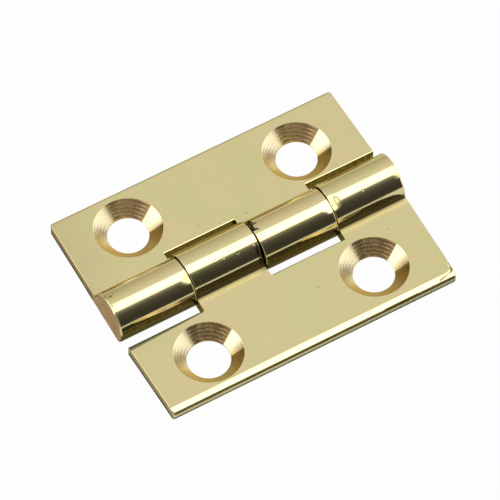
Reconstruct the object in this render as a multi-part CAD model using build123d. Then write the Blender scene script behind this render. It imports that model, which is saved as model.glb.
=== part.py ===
from build123d import *
import os
from math import radians, sqrt, tan

# Narrow butt hinge in solid drawn brass, lying open and flat with its knuckles up.
# Sizes are in millimetres. X runs along the pin, +Y points to the back leaf, +Z is up.
# The origin is under the middle of the pin, level with the flat back faces of the leaves.

# Leaves, drawn as one bar with their knuckles
leaf_thickness = 1.15
back_leaf_width = 9.62  # pin axis to the outer edge
front_leaf_width = 9.96
bevel_width = 0.42  # the shallow polished bevel along each outer edge
bevel_drop = 0.14
bevel_lip_round = 0.12
lower_edge_round = 0.25
side_edge_round = 0.26
end_lean = 1.02  # degrees by which the ground ends draw in towards the outer edges
end_skew = 0.47  # degrees by which the bar was sawn off square

# Knuckles, counted from the left end; the first and third belong to the back leaf
knuckle_diameter = 4.10
first_knuckle_length = 6.60
second_knuckle_length = 6.13
third_knuckle_length = 6.40
fourth_knuckle_length = 6.09
knuckle_gap = 0.06
knuckle_edge_chamfer = 0.08
crease_radius = 0.24
closed_gap = 0.12  # between the leaves' faces when the hinge is shut

# Slot that each knuckle turns in, measured from the knuckle to the slot's wall
first_slot_clearance = 1.06
second_slot_clearance = 0.87
third_slot_clearance = 0.86
fourth_slot_clearance = 0.96

# Pin, spread into a small countersink at each end and ground flush
pin_diameter = 1.60
pin_running_gap = 0.03
pin_spread_diameter = 2.10
pin_spread_depth = 0.30

# Countersunk screw holes
screw_hole_diameter = 3.28
countersink_diameter = 5.46
countersink_angle = 90.0
hole_from_end = 5.27
left_hole_from_edge = 3.28
right_hole_from_edge = 3.64
back_holes_shift = 0.07  # the back pair sits a little to the right and the front pair to the left
front_holes_shift = -0.155
front_holes_inset = 0.10  # the front pair also sits a little further in from its edge

# Values worked out from the sizes above
knuckle_radius = knuckle_diameter / 2
pin_radius = pin_diameter / 2
axis_height = leaf_thickness + closed_gap / 2
hinge_length = (
    first_knuckle_length
    + second_knuckle_length
    + third_knuckle_length
    + fourth_knuckle_length
    + 3 * knuckle_gap
)
half_length = hinge_length / 2
tool_reach = 2 * (back_leaf_width + front_leaf_width)
end_slack = tan(radians(end_lean + abs(end_skew)))


def knuckle_spans():
    """Start and end along X of the four knuckles, from left to right."""
    lengths = (
        first_knuckle_length,
        second_knuckle_length,
        third_knuckle_length,
        fourth_knuckle_length,
    )
    spans = []
    start = -half_length
    for length in lengths:
        spans.append((start, start + length))
        start += length + knuckle_gap
    return spans


def slot_walls():
    """Distance from the pin axis to the wall of the slot across from each knuckle."""
    clearances = (
        first_slot_clearance,
        second_slot_clearance,
        third_slot_clearance,
        fourth_slot_clearance,
    )
    return [knuckle_radius + clearance for clearance in clearances]


def block(low, high):
    """A box between two corners."""
    size = [b - a for a, b in zip(low, high)]
    return Pos(*low) * Box(*size, align=(Align.MIN, Align.MIN, Align.MIN))


def outside_end(end, side):
    """All that lies beyond one ground end of a leaf.

    end is -1 for the left end or 1 for the right, and side is 1 for the back leaf or -1 for the front.
    The end face stands upright through the end of the pin line and leans inwards along the leaf.
    """
    inner_x = end * half_length
    outer_x = end * (half_length + tool_reach)
    slope = tan(radians(end_lean - end * side * end_skew))
    lean = end * slope * tool_reach * side
    outline = Polyline(
        (inner_x + lean, -tool_reach),
        (outer_x, -tool_reach),
        (outer_x, tool_reach),
        (inner_x - lean, tool_reach),
        close=True,
    )
    prism = extrude(make_face(Plane.XY * outline), amount=tool_reach)
    return Pos(0, 0, -tool_reach / 2) * prism


def knuckle_section(side, web_reach):
    """Section across one knuckle and the web that joins it to its leaf, drawn for the back leaf."""
    round_part = Circle(knuckle_radius)
    web = Pos(web_reach / 2, leaf_thickness / 2 - axis_height) * Rectangle(web_reach, leaf_thickness)
    below = Pos(0, -axis_height - knuckle_radius) * Rectangle(4 * knuckle_radius, 2 * knuckle_radius)
    section = round_part + web - below
    crease_y = sqrt(knuckle_radius**2 - (axis_height - leaf_thickness) ** 2)
    crease = section.vertices().sort_by_distance((crease_y, leaf_thickness - axis_height, 0))[0]
    section = fillet(crease, crease_radius)
    if side < 0:
        section = mirror(section, about=Plane.YZ)
    return Plane.YZ * Pos(0, axis_height) * section


def knuckle(span, side, web_reach):
    """One knuckle with its web, its round edges lightly chamfered at both ends."""
    start, end = span
    section = knuckle_section(side, web_reach)
    body = extrude(section, amount=(end - start) + 2 * knuckle_radius, dir=(1, 0, 0))
    body = Pos(start - knuckle_radius, 0, 0) * body
    body -= left_limit(start, side)
    body -= right_limit(end, side)
    return chamfer(round_edges(body), knuckle_edge_chamfer)


def left_limit(x, side):
    """What is cut away to the left of a knuckle that starts at x."""
    if x <= -half_length:
        return outside_end(-1, side)
    return block((x - tool_reach, -tool_reach, -tool_reach), (x, tool_reach, tool_reach))


def right_limit(x, side):
    """What is cut away to the right of a knuckle that ends at x."""
    if x >= half_length - knuckle_gap / 2:
        return outside_end(1, side)
    return block((x, -tool_reach, -tool_reach), (x + tool_reach, tool_reach, tool_reach))


def round_edges(body):
    """The two curved edges round the ends of a knuckle."""
    top = axis_height + knuckle_radius
    found = []
    for edge in body.edges():
        box = edge.bounding_box()
        flat_along_x = box.size.X < 2 * end_slack * knuckle_radius + 0.01
        if flat_along_x and abs(box.max.Z - top) < 0.01:
            found.append(edge)
    return found


def leaf_section(width):
    """Section of a leaf from its slot to its bevelled outer edge, drawn for the back leaf."""
    bevel_start = width - bevel_width
    lip_height = leaf_thickness - bevel_drop
    outline = Polyline(
        (knuckle_radius, 0),
        (width, 0),
        (width, lip_height),
        (bevel_start, leaf_thickness),
        (knuckle_radius, leaf_thickness),
        close=True,
    )
    section = make_face(outline)
    lip = section.vertices().sort_by_distance((width, lip_height, 0))[0]
    section = fillet(lip, bevel_lip_round)
    lower = section.vertices().sort_by_distance((width, 0, 0))[0]
    return fillet(lower, lower_edge_round)


def leaf_plate(side, width):
    """The flat of a leaf, with its bevelled outer edge and eased ends."""
    section = leaf_section(width)
    if side < 0:
        section = mirror(section, about=Plane.YZ)
    length = hinge_length + 2 * knuckle_radius
    plate = extrude(Plane.YZ * section, amount=length, dir=(1, 0, 0))
    plate = Pos(-length / 2, 0, 0) * plate
    for end in (-1, 1):
        plate -= outside_end(end, side)
    return fillet(side_top_edges(plate), side_edge_round)


def side_top_edges(plate):
    """The upper edges along the two ends of a plate."""
    tops = plate.edges().group_by(Axis.Z)[-1]
    return [edge for edge in tops if edge.bounding_box().size.X < edge.bounding_box().size.Y]


def slot(number, side):
    """The space that knuckle number, counted from 0 at the left, turns in on the leaf across from it."""
    spans = knuckle_spans()
    start, end = spans[number]
    low_x = start - knuckle_gap
    high_x = end + knuckle_gap
    if number == 0:
        low_x = -half_length - knuckle_radius
    if number == len(spans) - 1:
        high_x = half_length + knuckle_radius
    wall = side * slot_walls()[number]
    near = -side * knuckle_radius
    low = (low_x, min(wall, near), -knuckle_radius)
    high = (high_x, max(wall, near), axis_height + 2 * knuckle_radius)
    return block(low, high)


def pin_profile(gap):
    """Half outline of the pin with its two spread ends, grown by a gap all round."""
    straight = pin_radius + gap
    spread = pin_spread_diameter / 2 + gap
    neck_x = half_length - pin_spread_depth
    slope = (spread - straight) / pin_spread_depth
    over = 2 * end_slack * pin_spread_diameter
    wide = spread + slope * over
    outline = Polyline(
        (-half_length - over, 0),
        (-half_length - over, wide),
        (-neck_x, straight),
        (neck_x, straight),
        (half_length + over, wide),
        (half_length + over, 0),
        close=True,
    )
    return make_face(Plane.XZ * outline)


def pin_body(gap):
    """The pin's full round form on its axis, still long at both ends."""
    return Pos(0, 0, axis_height) * revolve(pin_profile(gap), Axis.X, 360)


def screw_hole(x, y):
    """Through hole and countersink as one tool, standing at one place on a leaf."""
    hole_radius = screw_hole_diameter / 2
    rim_radius = countersink_diameter / 2
    depth = (rim_radius - hole_radius) / tan(radians(countersink_angle / 2))
    above = leaf_thickness
    wide = rim_radius + above * tan(radians(countersink_angle / 2))
    outline = Polyline(
        (0, -above),
        (hole_radius, -above),
        (hole_radius, leaf_thickness - depth),
        (wide, leaf_thickness + above),
        (0, leaf_thickness + above),
        close=True,
    )
    return Pos(x, y, 0) * revolve(make_face(Plane.XZ * outline), Axis.Z, 360)


def hole_places(side, reach, shift):
    """Centres of a leaf's two holes, left then right, on a leaf that counts as reach wide for them."""
    left = (-half_length + hole_from_end + shift, side * (reach - left_hole_from_edge))
    right = (half_length - hole_from_end + shift, side * (reach - right_hole_from_edge))
    return left, right


def leaf(side, width, shift, inset, own_knuckles):
    """One whole leaf: plate, knuckles, slots, pin bore and screw holes."""
    body = leaf_plate(side, width)
    web_reach = min(slot_walls())
    for number, span in enumerate(knuckle_spans()):
        if number in own_knuckles:
            body += knuckle(span, side, web_reach)
        else:
            body -= slot(number, side)
    body -= pin_body(pin_running_gap)
    for x, y in hole_places(side, width - inset, shift):
        body -= screw_hole(x, y)
    return body


def hinge_pin():
    """The pin, ground off flush with the end knuckles."""
    pin = pin_body(0)
    pin -= outside_end(-1, 1)
    pin -= outside_end(1, -1)
    return pin


def build():
    """Every piece by the name of its node."""
    return {
        "back_leaf": leaf(1, back_leaf_width, back_holes_shift, 0, (0, 2)),
        "front_leaf": leaf(-1, front_leaf_width, front_holes_shift, front_holes_inset, (1, 3)),
        "hinge_pin": hinge_pin(),
    }


os.makedirs("parts", exist_ok=True)
for node, solid in build().items():
    export_step(solid, f"parts/{node}.step")
    print(node, round(solid.volume, 3), "mm3")
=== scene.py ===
"""Looks of a narrow butt hinge in solid drawn brass, lying open with its knuckles up.

Shapes are worked out in millimetres and brought to metres when a piece is finished. X runs along the
pin, +Y points to the back leaf and +Z is up. Distances across a leaf are measured from the pin axis.
"""

import logging
import math
from dataclasses import dataclass, field, replace
from enum import Enum
from typing import Any, Sequence

import bmesh
import bpy
import numpy as np
from mathutils import Matrix, Vector


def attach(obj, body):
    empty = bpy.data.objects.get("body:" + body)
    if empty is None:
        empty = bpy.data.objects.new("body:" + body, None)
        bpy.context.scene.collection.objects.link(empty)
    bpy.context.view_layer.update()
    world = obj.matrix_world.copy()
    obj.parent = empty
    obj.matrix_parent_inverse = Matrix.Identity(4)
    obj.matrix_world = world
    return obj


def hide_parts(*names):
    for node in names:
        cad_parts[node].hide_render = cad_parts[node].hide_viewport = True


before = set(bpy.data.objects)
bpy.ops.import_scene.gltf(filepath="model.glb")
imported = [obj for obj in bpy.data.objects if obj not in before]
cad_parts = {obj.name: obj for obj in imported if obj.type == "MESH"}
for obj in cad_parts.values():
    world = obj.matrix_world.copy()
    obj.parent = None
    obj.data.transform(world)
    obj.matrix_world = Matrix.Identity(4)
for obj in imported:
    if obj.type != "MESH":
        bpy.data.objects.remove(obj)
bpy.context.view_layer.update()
log = logging.getLogger("butt_hinge")

MM = 0.001
FULL_TURN = 2 * math.pi
DEGREES = 180 / math.pi
SHELL_WELD, PIECE_WELD = 1e-5, 2e-5  # points nearer than this in millimetres are made one
HOLE_SIDES = 128
FACING = 0.7  # a wall counts as facing a way when this much of its direction lies that way
Point = tuple[float, float, float]
Colour = tuple[float, float, float]


class Side(Enum):
    """Which leaf a piece belongs to, as the sign of Y on that side."""

    BACK = 1
    FRONT = -1


class Finish(Enum):
    """The finishes of a leaf, in the order of its material slots."""

    POLISHED = 0
    GROUND = 1
    TURNED = 2
    SAWN = 3
    CROPPED = 4
    BACK_FACE = 5
    TRIMMED = 6


# Node helpers


class Nodes:
    """Makes and joins the nodes of one tree."""

    def __init__(self, tree: bpy.types.NodeTree) -> None:
        """Takes the tree that the nodes go into."""
        self.tree = tree

    def add(self, kind: str, settings: dict[str, Any] | None = None,
            inputs: dict[Any, Any] | None = None) -> Any:
        """Adds one node.

        Args:
            kind: The node's type, such as ShaderNodeMath.
            settings: Its own settings, which are set first. Those named stops are a colour ramp's.
            inputs: Values or links for its sockets, by name or number.

        Returns:
            The new node.
        """
        node = self.tree.nodes.new(kind)
        for name, value in (settings or {}).items():
            if name == "stops":
                self._set_stops(node, value)
            else:
                setattr(node, name, value)
        for key, value in (inputs or {}).items():
            self.feed(self._find(node, key), value)
        return node

    @staticmethod
    def _find(node: Any, key: Any) -> Any:
        """The input socket of that name or number which is switched on."""
        if isinstance(key, int):
            return node.inputs[key]
        return next(s for s in node.inputs if s.name == key and s.enabled)

    def feed(self, socket: Any, value: Any) -> None:
        """Links a value's socket to an input, or sets it there.

        Args:
            socket: The input socket.
            value: A Value, an output socket, a list of them, or a plain value.
        """
        if isinstance(value, list):
            for one in value:
                self.feed(socket, one)
        elif isinstance(value, Value):
            self.tree.links.new(value.socket, socket)
        elif isinstance(value, bpy.types.NodeSocket):
            self.tree.links.new(value, socket)
        else:
            socket.default_value = value

    @staticmethod
    def _set_stops(node: Any, stops: Sequence[tuple[float, tuple[float, ...]]]) -> None:
        """Gives a colour ramp its stops.

        Args:
            node: The ramp.
            stops: Places from 0 to 1 with their colours.
        """
        ramp = node.color_ramp
        while len(ramp.elements) < len(stops):
            ramp.elements.new(0.5)
        for element, (place, colour) in zip(ramp.elements, stops):
            element.position = place
            element.color = (*colour, 1.0)

    def value(self, kind: str, output: Any = 0, settings: dict[str, Any] | None = None,
              inputs: dict[Any, Any] | None = None) -> "Value":
        """Adds a node and gives one of its outputs as a Value.

        Args:
            kind: The node's type.
            output: The name or number of the output.
            settings: The node's settings.
            inputs: The node's inputs.

        Returns:
            The output, ready for sums.
        """
        node = self.add(kind, settings, inputs)
        if isinstance(output, int):
            return Value(self, node.outputs[output])
        return Value(self, next(s for s in node.outputs if s.name == output and s.enabled))

    def parts(self, vector: "Value") -> tuple["Value", "Value", "Value"]:
        """The three numbers of a vector."""
        node = self.add("ShaderNodeSeparateXYZ", None, {0: vector})
        return tuple(Value(self, s) for s in node.outputs)

    def vector(self, x: Any = 0.0, y: Any = 0.0, z: Any = 0.0) -> "Value":
        """A vector of three numbers."""
        return self.value("ShaderNodeCombineXYZ", 0, None, {0: x, 1: y, 2: z})

    def vectors(self, operation: str, *terms: Any, output: Any = 0) -> "Value":
        """One Vector Math node on the given vectors."""
        return self.value("ShaderNodeVectorMath", output, {"operation": operation}, dict(enumerate(terms)))

    def scaled(self, vector: Any, scale: Any) -> "Value":
        """A vector times a number."""
        return self.value("ShaderNodeVectorMath", 0, {"operation": "SCALE"}, {0: vector, "Scale": scale})


class Value:
    """An output socket that can be used in a sum."""

    def __init__(self, nodes: Nodes, socket: Any) -> None:
        """Takes the maker of the tree's nodes and the socket."""
        self.nodes = nodes
        self.socket = socket

    def _sum(self, operation: str, *terms: Any) -> "Value":
        """Adds one Math node on the given terms."""
        return self.nodes.value("ShaderNodeMath", 0, {"operation": operation}, dict(enumerate(terms)))

    def __add__(self, other: Any) -> "Value":
        """This plus other."""
        return self._sum("ADD", self, other)

    def __radd__(self, other: Any) -> "Value":
        """other plus this."""
        return self._sum("ADD", other, self)

    def __sub__(self, other: Any) -> "Value":
        """This minus other."""
        return self._sum("SUBTRACT", self, other)

    def __rsub__(self, other: Any) -> "Value":
        """other minus this."""
        return self._sum("SUBTRACT", other, self)

    def __mul__(self, other: Any) -> "Value":
        """This times other."""
        return self._sum("MULTIPLY", self, other)

    def __rmul__(self, other: Any) -> "Value":
        """other times this."""
        return self._sum("MULTIPLY", other, self)

    def __truediv__(self, other: Any) -> "Value":
        """This over other."""
        return self._sum("DIVIDE", self, other)

    def sine(self) -> "Value":
        """The sine of this."""
        return self._sum("SINE", self)

    def arcsine(self) -> "Value":
        """The angle whose sine is this."""
        return self._sum("ARCSINE", self)

    def size(self) -> "Value":
        """This without its sign."""
        return self._sum("ABSOLUTE", self)

    def at_least(self, other: Any) -> "Value":
        """The larger of this and other."""
        return self._sum("MAXIMUM", self, other)

    def at_most(self, other: Any) -> "Value":
        """The smaller of this and other."""
        return self._sum("MINIMUM", self, other)

    def angle_to(self, other: Any) -> "Value":
        """The angle whose sine goes with this and whose cosine goes with other."""
        return self._sum("ARCTAN2", self, other)

    def ease(self, low: float, high: float) -> "Value":
        """A smooth step from 0 at low to 1 at high.

        Args:
            low: Where the step starts. It may be the larger one.
            high: Where it ends.

        Returns:
            The step, from 0 to 1.
        """
        settings = {"interpolation_type": "SMOOTHSTEP", "clamp": True}
        limits = {"Value": self, "From Min": min(low, high), "From Max": max(low, high)}
        step = self.nodes.value("ShaderNodeMapRange", 0, settings, limits)
        return step if low < high else 1 - step

    def between(self, low: float, high: float, soft: float) -> "Value":
        """1 from low to high and 0 elsewhere, with borders that are soft by that much to each side."""
        return self.ease(low - soft, low + soft) * self.ease(high + soft, high - soft)


class ShaderNodes(Nodes):
    """Node maker with what a surface's shader needs often."""

    def place(self) -> Value:
        """The point on the piece in millimetres, as a vector."""
        return self.scaled(self.value("ShaderNodeTexCoord", "Object"), 1 / MM)

    def stretched(self, vector: Value, scale: Point) -> Value:
        """A vector with each of its numbers scaled."""
        return self.vectors("MULTIPLY", vector, scale)

    def far_from(self, vector: Value, centre: Point) -> Value:
        """Distance from a point."""
        return self.vectors("DISTANCE", vector, centre, output="Value")

    def far_from_line(self, vector: Value, start: Point, end: Point) -> Value:
        """Distance from the straight line between two points.

        Args:
            vector: The place to measure from.
            start: One end of the line.
            end: Its other end.

        Returns:
            The distance to the line's nearest point.
        """
        run = Vector(end) - Vector(start)
        way = self.vectors("SUBTRACT", vector, start)
        along = self.vectors("DOT_PRODUCT", way, tuple(run), output="Value")
        share = (along / run.length_squared).at_least(0.0).at_most(1.0)
        return self.vectors("DISTANCE", way, self.scaled(tuple(run), share), output="Value")

    def noise(self, vector: Value, scale: float, detail: float, roughness: float) -> Value:
        """Smooth noise from 0 to 1.

        Args:
            vector: Where it is read.
            scale: Bumps per unit.
            detail: How many finer layers it has.
            roughness: How strong the finer layers are.

        Returns:
            The noise.
        """
        return self.value("ShaderNodeTexNoise", 0, None,
                          {"Vector": vector, "Scale": scale, "Detail": detail, "Roughness": roughness})

    def mix(self, share: Any, first: Any, second: Any) -> Value:
        """A colour between two others.

        Args:
            share: How much of the second there is, from 0 to 1.
            first: The colour at 0.
            second: The colour at 1.

        Returns:
            The mixed colour.
        """
        settings = {"data_type": "RGBA", "clamp_factor": True}
        colours = {"Factor": share, "A": self._opaque(first), "B": self._opaque(second)}
        return self.value("ShaderNodeMix", "Result", settings, colours)

    @staticmethod
    def _opaque(colour: Any) -> Any:
        """A plain colour with its alpha, or a socket as it is."""
        return colour if isinstance(colour, Value) else (*colour, 1.0)

    def bump(self, height: Value) -> Value:
        """A normal tilted by a height in millimetres."""
        return self.value("ShaderNodeBump", 0, None, {"Height": height, "Distance": MM, "Strength": 1.0})


def new_material(name: str) -> tuple[bpy.types.Material, ShaderNodes]:
    """Makes an empty material.

    Args:
        name: Its name.

    Returns:
        The material and the maker of its nodes.
    """
    made = bpy.data.materials.new(name)
    made.use_nodes = True
    made.node_tree.nodes.clear()
    return made, ShaderNodes(made.node_tree)


# Finishes


@dataclass(frozen=True)
class Grain:
    """A pattern of noise, with the scale, the layers and their strength, and how it is stretched."""

    scale: float
    detail: float = 2.0
    roughness: float = 0.5
    stretch: Point | None = None

    def at(self, nodes: ShaderNodes, place: Value) -> Value:
        """The pattern at a place, from 0 to 1."""
        if self.stretch:
            place = nodes.stretched(place, self.stretch)
        return nodes.noise(place, self.scale, self.detail, self.roughness)


@dataclass(frozen=True)
class Mark:
    """A small dent or stain on a leaf."""

    place: Point
    radius: float
    depth: float = 0.0
    stain: float = 0.0


@dataclass(frozen=True)
class Stroke:
    """A scratch or a drawn-out stain from one point to another."""

    start: Point
    end: Point
    width: float
    stain: float = 0.0
    depth: float = 0.0
    tint: Colour = (0.045, 0.035, 0.015)


@dataclass(frozen=True)
class BrassFinish:
    """What every brass finish has: a name, two tints, a gloss and the tint that it takes on edge-on.

    The cores are the shares of a mark's radius and of a stroke's width within which it is at its full.
    """

    name: str = "brass"
    tint: Colour = (0.83, 0.70, 0.375)
    second_tint: Colour = (0.775, 0.71, 0.35)
    gloss: float = 0.11
    edge_tint: Colour = (0.64, 0.56, 0.38)
    marks: tuple[Mark, ...] = ()
    strokes: tuple[Stroke, ...] = ()
    mark_core: float = 0.25
    stroke_core: float = 0.4
    stain_tint: Colour = (0.10, 0.07, 0.03)

    def material(self) -> bpy.types.Material:
        """Builds the material.

        Returns:
            A new material with this finish.
        """
        made, nodes = new_material(self.name)
        shader = nodes.add("ShaderNodeBsdfPrincipled", None,
                           {"Metallic": 1.0, "Specular Tint": (*self.edge_tint, 1.0)})
        colour, gloss, height = self.surface(nodes)
        colour, height = self.marked(nodes, colour, height)
        nodes.feed(shader.inputs["Base Color"], colour)
        nodes.feed(shader.inputs["Roughness"], gloss)
        nodes.feed(shader.inputs["Normal"], nodes.bump(height))
        nodes.add("ShaderNodeOutputMaterial", None, {"Surface": shader.outputs[0]})
        made.diffuse_color = (*self.tint, 1.0)
        made.metallic = 1.0
        made.roughness = self.gloss
        return made

    def surface(self, nodes: ShaderNodes) -> tuple[Any, Any, Value]:
        """Colour, roughness and height of the finish; each finish has its own."""
        raise NotImplementedError

    def marked(self, nodes: ShaderNodes, colour: Any, height: Value) -> tuple[Any, Value]:
        """Adds the dents and stains.

        Args:
            nodes: The maker of the tree's nodes.
            colour: The colour without marks.
            height: The height without marks.

        Returns:
            Colour and height with the marks.
        """
        place = nodes.place()
        for mark in self.marks:
            inside = nodes.far_from(place, mark.place).ease(mark.radius, self.mark_core * mark.radius)
            if mark.depth:
                height = height - inside * mark.depth
            if mark.stain:
                colour = nodes.mix(inside * mark.stain, colour, self.stain_tint)
        for stroke in self.strokes:
            away = nodes.far_from_line(place, stroke.start, stroke.end)
            inside = away.ease(stroke.width, self.stroke_core * stroke.width)
            if stroke.depth:
                height = height - inside * stroke.depth
            if stroke.stain:
                colour = nodes.mix(inside * stroke.stain, colour, stroke.tint)
        return colour, height


@dataclass(frozen=True)
class Crease:
    """A line along the foot of a knuckle or the edge of a slot, coloured darker, beside a scraped band.

    It runs from low to high along X, outwards from the given Y, and reach is how far it is scraped.
    The widths are those of the darker line at its two ends.
    """

    low: float
    high: float
    y: float
    reach: float = 0.85
    widths: tuple[float, float] = (0.08, 0.08)


@dataclass(frozen=True)
class PolishedFinish(BrassFinish):
    """Mop-polished faces with faint streaks along the bar, a slow change of tint and painted shade to the
    left.

    Painted shade darkens the knuckles low down on the flank away from their own leaf, on the side of Y that
    flank gives.
    """

    name: str = "polished_brass"
    # Painted shade: the tint that the faces take towards the left end.
    shade: Colour = (0.66, 0.56, 0.28)
    shade_reach: tuple[float, float] = (-7.0, -14.0)
    shade_share: float = 0.6
    blotches: Grain = Grain(0.45, 2.0, 0.55)
    blotch_edges: tuple[float, float] = (0.38, 0.62)
    streaks: Grain = Grain(2.0, 3.0, 0.6, (0.25, 6.0, 6.0))
    waves: Grain = Grain(0.8, 1.0, 0.5, (0.35, 0.9, 0.9))
    scrapes: Grain = Grain(1.3, 2.0, 0.6, (0.1, 9.0, 9.0))
    gloss_change: float = 0.05
    streak_height: float = 0.0006
    wave_height: float = 0.004
    creases: tuple[Crease, ...] = ()
    crease_tint: Colour = (0.09, 0.07, 0.03)
    crease_share: float = 0.88
    scraped_gloss: float = 0.24
    scraped_height: float = 0.008
    flank: float = -1.0
    flank_shade_tint: Colour = (0.06, 0.055, 0.03)
    flank_edge: tuple[float, float] = (1.72, 1.92)
    flank_top: tuple[float, float] = (1.55, 1.2)
    flank_shade_share: float = 0.95

    def surface(self, nodes: ShaderNodes) -> tuple[Any, Any, Value]:
        """Colour, roughness and height of a polished face.

        Args:
            nodes: The maker of the tree's nodes.

        Returns:
            The colour, the roughness and the height in millimetres.
        """
        place = nodes.place()
        blotch = self.blotches.at(nodes, place)
        streak = self.streaks.at(nodes, place)
        x, y, z = nodes.parts(place)
        colour = nodes.mix(blotch.ease(*self.blotch_edges), self.tint, self.second_tint)
        # Painted shade: the colour darkens towards the left end.
        shaded = (x + blotch * 5.0 - y * 0.3).ease(*self.shade_reach)
        colour = nodes.mix(shaded * self.shade_share, colour, self.shade)
        gloss = self.gloss + (streak - 0.5) * self.gloss_change
        wave = self.waves.at(nodes, place)
        height = streak * self.streak_height + wave * self.wave_height
        lines = self.scrapes.at(nodes, place)
        for crease in self.creases:
            scraped, darkened = self._along_crease(crease, x, y)
            gloss = gloss + scraped * self.scraped_gloss
            height = height + scraped * lines * self.scraped_height
            colour = nodes.mix(darkened * self.crease_share, colour, self.crease_tint)
        # Painted shade low down on each knuckle's far flank.
        tucked_shade = (y * self.flank).ease(*self.flank_edge) * z.ease(*self.flank_top)
        colour = nodes.mix(tucked_shade * self.flank_shade_share, colour, self.flank_shade_tint)
        return colour, gloss, height

    @staticmethod
    def _along_crease(crease: Crease, x: Value, y: Value) -> tuple[Value, Value]:
        """Where a crease is scraped and where it is darkened.

        Args:
            crease: The crease.
            x: The place along the pin.
            y: The place across it.

        Returns:
            How scraped and how darkened the place is, from 0 to 1.
        """
        outward = math.copysign(1.0, crease.y)
        away = y * outward - crease.y * outward
        along = x.ease(crease.low - 0.1, crease.low + 0.05) * x.ease(crease.high + 0.1, crease.high - 0.05)
        scraped = away.ease(-0.06, 0.0) * away.ease(crease.reach, 0.3 * crease.reach) * along
        first, last = crease.widths
        wide = (x - crease.low) * ((last - first) / (crease.high - crease.low)) + first
        darkened = away.ease(-0.08, -0.01) * (away / wide).ease(1.4, 0.7) * along
        return scraped, darkened


@dataclass(frozen=True)
class StreakedFinish(BrassFinish):
    """Faces with plain tool marks, drawn out along the cut.

    The contrast is the range of the marks over which the first tint changes into the second.
    """

    lines: Grain = Grain(2.0)
    contrast: tuple[float, float] = (0.3, 0.7)
    gloss_change: float = 0.15
    relief: float = 0.006

    def surface(self, nodes: ShaderNodes) -> tuple[Any, Any, Value]:
        """Colour, roughness and height of a streaked face.

        Args:
            nodes: The maker of the tree's nodes.

        Returns:
            The colour, the roughness and the height in millimetres.
        """
        lines = self.lines.at(nodes, nodes.place())
        colour = nodes.mix(lines.ease(*self.contrast), self.tint, self.second_tint)
        return colour, self.gloss + (lines - 0.5) * self.gloss_change, lines * self.relief


@dataclass(frozen=True)
class GroundFinish(StreakedFinish):
    """Ends ground across the bar, with fine lines along the grinding."""

    name: str = "ground_brass"
    tint: Colour = (0.44, 0.31, 0.17)
    second_tint: Colour = (0.70, 0.52, 0.34)
    gloss: float = 0.36
    lines: Grain = Grain(2.4, 3.0, 0.65, (0.5, 0.4, 9.0))


@dataclass(frozen=True)
class ShadedSlotFinish(StreakedFinish):
    """Slot walls and the cropped sides of the leaves, barely polished and coloured dark brown as painted
    shade.
    """

    name: str = "cropped_brass"
    # Painted shade: both tints are dark brown.
    tint: Colour = (0.28, 0.21, 0.06)
    second_tint: Colour = (0.09, 0.065, 0.015)
    gloss: float = 0.3
    lines: Grain = Grain(2.0, 2.0, 0.6, (1.2, 1.2, 0.8))
    contrast: tuple[float, float] = (0.1, 0.9)
    gloss_change: float = 0.2
    relief: float = 0.004


@dataclass(frozen=True)
class SawnFinish(BrassFinish):
    """Outer edges as the cutter left them, with slanting chatter between two dark lines of painted shade."""

    name: str = "sawn_brass"
    tint: Colour = (0.80, 0.76, 0.42)
    second_tint: Colour = (0.52, 0.46, 0.24)
    # Painted shade: the tint of the dark lines under the lip and at the foot of the wall.
    line_shade: Colour = (0.03, 0.026, 0.01)
    gloss: float = 0.2
    edge_tint: Colour = (0.16, 0.14, 0.08)
    line_shade_share: float = 0.9
    unevenness: Grain = Grain(1.2, 1.0, 0.5, (0.5, 1.0, 1.0))
    upper_line: float = 0.72
    lower_line: float = 0.34
    line_soft: float = 0.05
    chatter_pitch: float = 0.55
    chatter_lean: float = 0.9
    chatter_height: float = 0.0015

    def surface(self, nodes: ShaderNodes) -> tuple[Any, Any, Value]:
        """Colour, roughness and height of a sawn wall.

        Args:
            nodes: The maker of the tree's nodes.

        Returns:
            The colour, the roughness and the height in millimetres.
        """
        place = nodes.place()
        x, y, z = nodes.parts(place)
        along = x + y
        uneven = self.unevenness.at(nodes, place)
        slant = along - z * self.chatter_lean + uneven * 0.8
        slant = (slant * (FULL_TURN / self.chatter_pitch)).sine()
        # The chatter grows and the wall is painted darker as x + y grows, towards the right: tool marks and
        # painted shade.
        chatter_and_shade_rise = along.ease(-16.0, 1.0)
        colour = nodes.mix((slant * 0.4 + 0.5) * chatter_and_shade_rise * 0.8 + chatter_and_shade_rise * 0.2, self.tint, self.second_tint)
        # Painted shade: dark lines on the wall under the lip and along its foot.
        level = z + (uneven - 0.5) * 0.1
        darkened = level.ease(self.upper_line - self.line_soft, self.upper_line + self.line_soft)
        lower = level.ease(self.lower_line + self.line_soft, self.lower_line - self.line_soft)
        colour = nodes.mix(darkened.at_least(lower) * self.line_shade_share, colour, self.line_shade)
        return colour, self.gloss + uneven * 0.08, slant * chatter_and_shade_rise * self.chatter_height


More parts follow.
